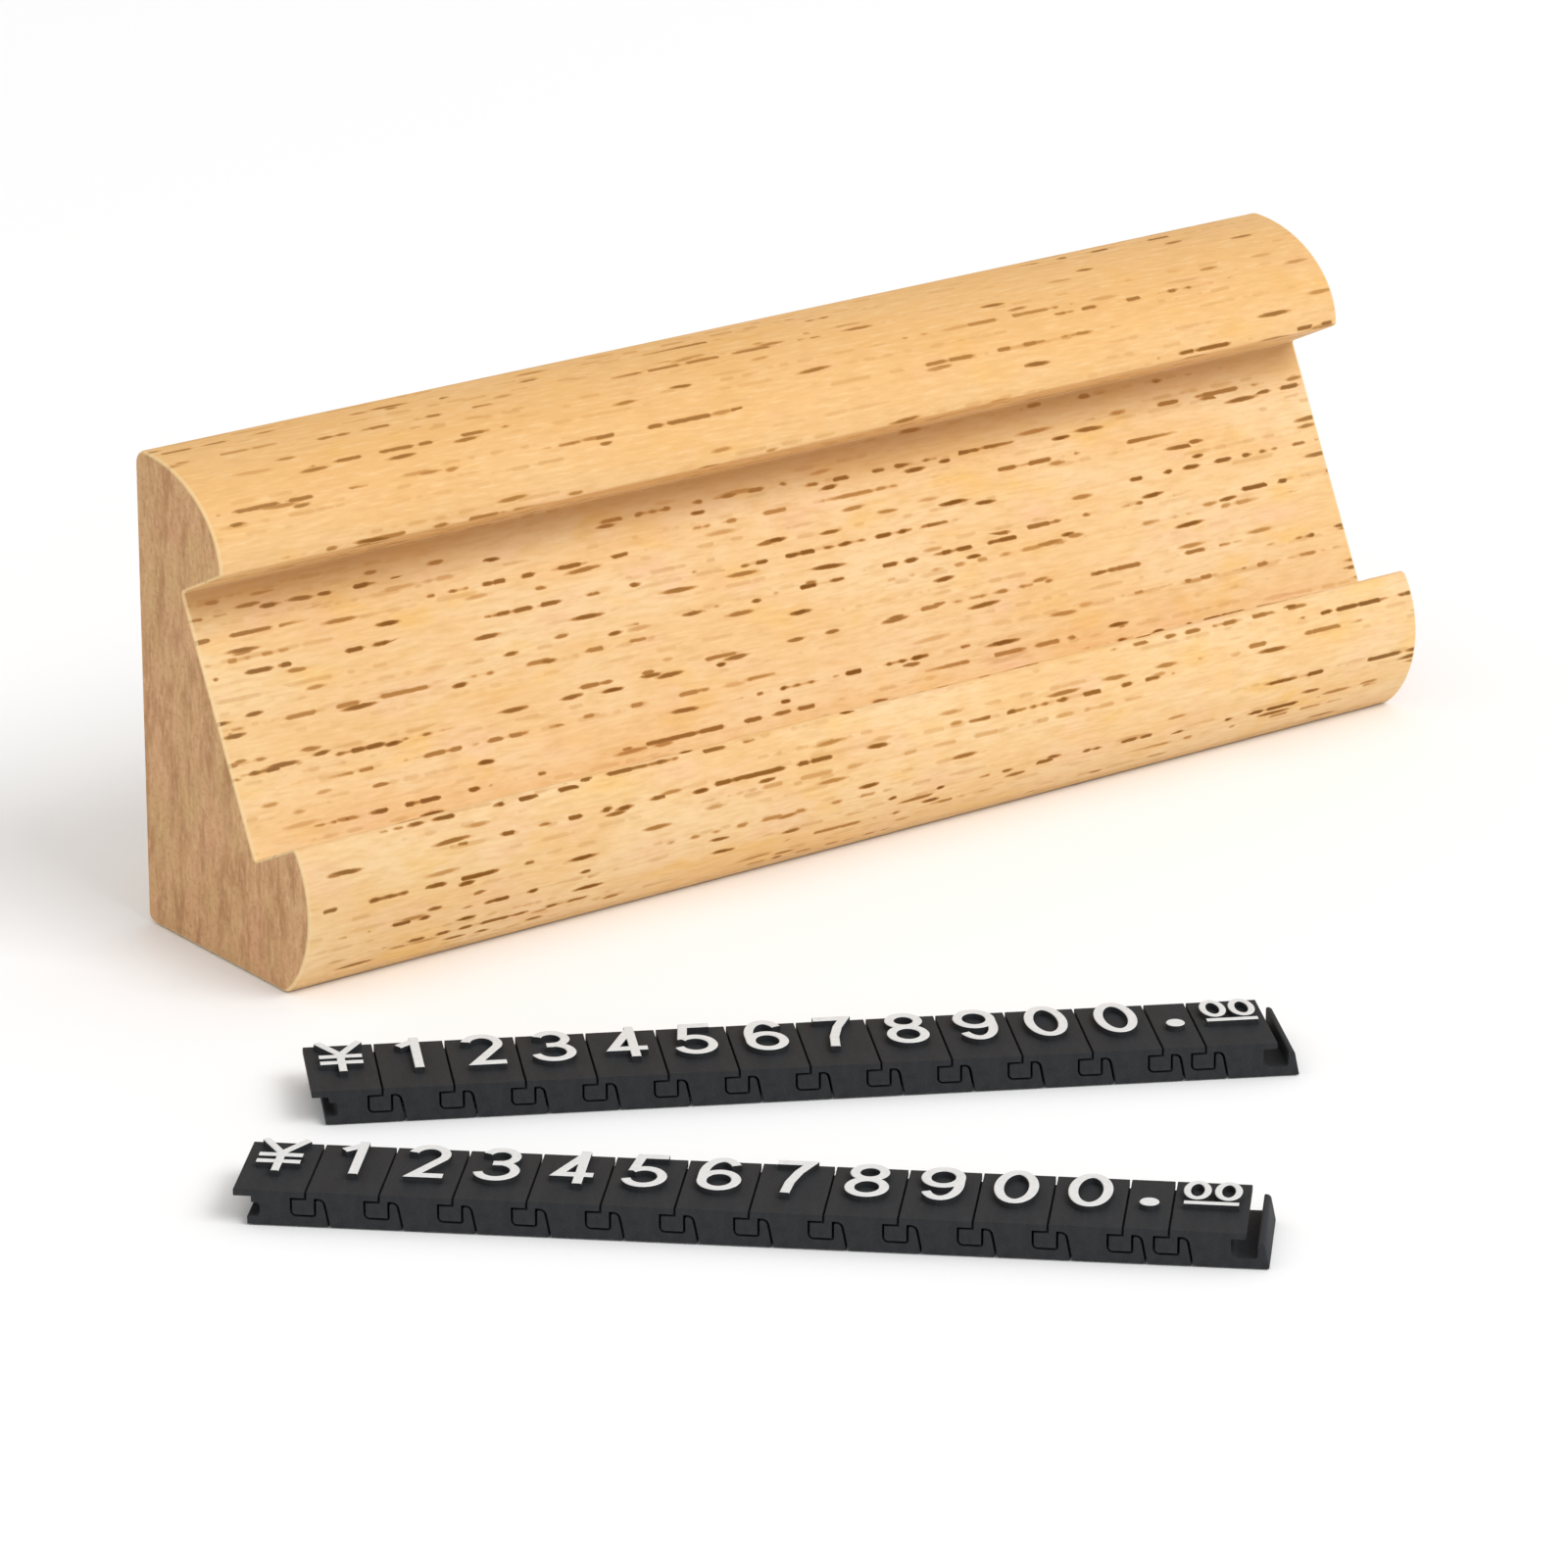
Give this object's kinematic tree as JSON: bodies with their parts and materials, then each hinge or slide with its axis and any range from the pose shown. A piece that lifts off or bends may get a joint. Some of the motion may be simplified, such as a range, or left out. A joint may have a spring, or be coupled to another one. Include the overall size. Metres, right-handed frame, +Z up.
{
  "type": "table number holder",
  "caption": "Leaning wooden block with a milled channel along its front, and two loose strips of interlocking number tiles that stand in the channel as a number or price.",
  "frame": {"origin": "middle of the wood block's flat underside", "axes": "+X along the block's length, -Y towards the channel's open front, +Z up"},
  "size_m": [0.1372, 0.1034, 0.0382],
  "materials": {
    "beech": "fine-sanded beech, thinly oiled, satin",
    "black_plastic": "moulded black plastic, fine matt, figures stamped white on top"
  },
  "bodies": {
    "block": {"wood_block": "beech"},
    "rear_tile_yen": {"rear_tile_yen": "black_plastic"},
    "rear_tile_1": {"rear_tile_1": "black_plastic"},
    "rear_tile_2": {"rear_tile_2": "black_plastic"},
    "rear_tile_3": {"rear_tile_3": "black_plastic"},
    "rear_tile_4": {"rear_tile_4": "black_plastic"},
    "rear_tile_5": {"rear_tile_5": "black_plastic"},
    "rear_tile_6": {"rear_tile_6": "black_plastic"},
    "rear_tile_7": {"rear_tile_7": "black_plastic"},
    "rear_tile_8": {"rear_tile_8": "black_plastic"},
    "rear_tile_9": {"rear_tile_9": "black_plastic"},
    "rear_tile_0a": {"rear_tile_0a": "black_plastic"},
    "rear_tile_0b": {"rear_tile_0b": "black_plastic"},
    "rear_tile_point": {"rear_tile_point": "black_plastic"},
    "rear_tile_cents": {"rear_tile_cents": "black_plastic"},
    "front_tile_yen": {"front_tile_yen": "black_plastic"},
    "front_tile_1": {"front_tile_1": "black_plastic"},
    "front_tile_2": {"front_tile_2": "black_plastic"},
    "front_tile_3": {"front_tile_3": "black_plastic"},
    "front_tile_4": {"front_tile_4": "black_plastic"},
    "front_tile_5": {"front_tile_5": "black_plastic"},
    "front_tile_6": {"front_tile_6": "black_plastic"},
    "front_tile_7": {"front_tile_7": "black_plastic"},
    "front_tile_8": {"front_tile_8": "black_plastic"},
    "front_tile_9": {"front_tile_9": "black_plastic"},
    "front_tile_0a": {"front_tile_0a": "black_plastic"},
    "front_tile_0b": {"front_tile_0b": "black_plastic"},
    "front_tile_point": {"front_tile_point": "black_plastic"},
    "front_tile_cents": {"front_tile_cents": "black_plastic"}
  },
  "joints": [
    {"name": "rear_strip_lift", "type": "slide", "parent": "block", "child": "rear_tile_yen", "axis": [0, 0, 1], "range_m": [0, 0.05]},
    {"name": "rear_1_slide", "type": "slide", "parent": "rear_tile_yen", "child": "rear_tile_1", "axis": [0.4879, 0.8729, 0], "range_m": [0, 0.0087]},
    {"name": "rear_2_slide", "type": "slide", "parent": "rear_tile_yen", "child": "rear_tile_2", "axis": [0.4879, 0.8729, 0], "range_m": [0, 0.0087]},
    {"name": "rear_3_slide", "type": "slide", "parent": "rear_tile_yen", "child": "rear_tile_3", "axis": [0.4879, 0.8729, 0], "range_m": [0, 0.0087]},
    {"name": "rear_4_slide", "type": "slide", "parent": "rear_tile_yen", "child": "rear_tile_4", "axis": [0.4879, 0.8729, 0], "range_m": [0, 0.0087]},
    {"name": "rear_5_slide", "type": "slide", "parent": "rear_tile_yen", "child": "rear_tile_5", "axis": [0.4879, 0.8729, 0], "range_m": [0, 0.0087]},
    {"name": "rear_6_slide", "type": "slide", "parent": "rear_tile_yen", "child": "rear_tile_6", "axis": [0.4879, 0.8729, 0], "range_m": [0, 0.0087]},
    {"name": "rear_7_slide", "type": "slide", "parent": "rear_tile_yen", "child": "rear_tile_7", "axis": [0.4879, 0.8729, 0], "range_m": [0, 0.0087]},
    {"name": "rear_8_slide", "type": "slide", "parent": "rear_tile_yen", "child": "rear_tile_8", "axis": [0.4879, 0.8729, 0], "range_m": [0, 0.0087]},
    {"name": "rear_9_slide", "type": "slide", "parent": "rear_tile_yen", "child": "rear_tile_9", "axis": [0.4879, 0.8729, 0], "range_m": [0, 0.0087]},
    {"name": "rear_0a_slide", "type": "slide", "parent": "rear_tile_yen", "child": "rear_tile_0a", "axis": [0.4879, 0.8729, 0], "range_m": [0, 0.0087]},
    {"name": "rear_0b_slide", "type": "slide", "parent": "rear_tile_yen", "child": "rear_tile_0b", "axis": [0.4879, 0.8729, 0], "range_m": [0, 0.0087]},
    {"name": "rear_point_slide", "type": "slide", "parent": "rear_tile_yen", "child": "rear_tile_point", "axis": [0.4879, 0.8729, 0], "range_m": [0, 0.0087]},
    {"name": "rear_cents_slide", "type": "slide", "parent": "rear_tile_yen", "child": "rear_tile_cents", "axis": [0.4879, 0.8729, 0], "range_m": [0, 0.0087]},
    {"name": "front_strip_lift", "type": "slide", "parent": "block", "child": "front_tile_yen", "axis": [0, 0, 1], "range_m": [0, 0.05]},
    {"name": "front_1_slide", "type": "slide", "parent": "front_tile_yen", "child": "front_tile_1", "axis": [-0.6858, -0.7278, 0], "range_m": [0, 0.0087]},
    {"name": "front_2_slide", "type": "slide", "parent": "front_tile_yen", "child": "front_tile_2", "axis": [-0.6858, -0.7278, 0], "range_m": [0, 0.0087]},
    {"name": "front_3_slide", "type": "slide", "parent": "front_tile_yen", "child": "front_tile_3", "axis": [-0.6858, -0.7278, 0], "range_m": [0, 0.0087]},
    {"name": "front_4_slide", "type": "slide", "parent": "front_tile_yen", "child": "front_tile_4", "axis": [-0.6858, -0.7278, 0], "range_m": [0, 0.0087]},
    {"name": "front_5_slide", "type": "slide", "parent": "front_tile_yen", "child": "front_tile_5", "axis": [-0.6858, -0.7278, 0], "range_m": [0, 0.0087]},
    {"name": "front_6_slide", "type": "slide", "parent": "front_tile_yen", "child": "front_tile_6", "axis": [-0.6858, -0.7278, 0], "range_m": [0, 0.0087]},
    {"name": "front_7_slide", "type": "slide", "parent": "front_tile_yen", "child": "front_tile_7", "axis": [-0.6858, -0.7278, 0], "range_m": [0, 0.0087]},
    {"name": "front_8_slide", "type": "slide", "parent": "front_tile_yen", "child": "front_tile_8", "axis": [-0.6858, -0.7278, 0], "range_m": [0, 0.0087]},
    {"name": "front_9_slide", "type": "slide", "parent": "front_tile_yen", "child": "front_tile_9", "axis": [-0.6858, -0.7278, 0], "range_m": [0, 0.0087]},
    {"name": "front_0a_slide", "type": "slide", "parent": "front_tile_yen", "child": "front_tile_0a", "axis": [-0.6858, -0.7278, 0], "range_m": [0, 0.0087]},
    {"name": "front_0b_slide", "type": "slide", "parent": "front_tile_yen", "child": "front_tile_0b", "axis": [-0.6858, -0.7278, 0], "range_m": [0, 0.0087]},
    {"name": "front_point_slide", "type": "slide", "parent": "front_tile_yen", "child": "front_tile_point", "axis": [-0.6858, -0.7278, 0], "range_m": [0, 0.0087]},
    {"name": "front_cents_slide", "type": "slide", "parent": "front_tile_yen", "child": "front_tile_cents", "axis": [-0.6858, -0.7278, 0], "range_m": [0, 0.0087]}
  ]
}
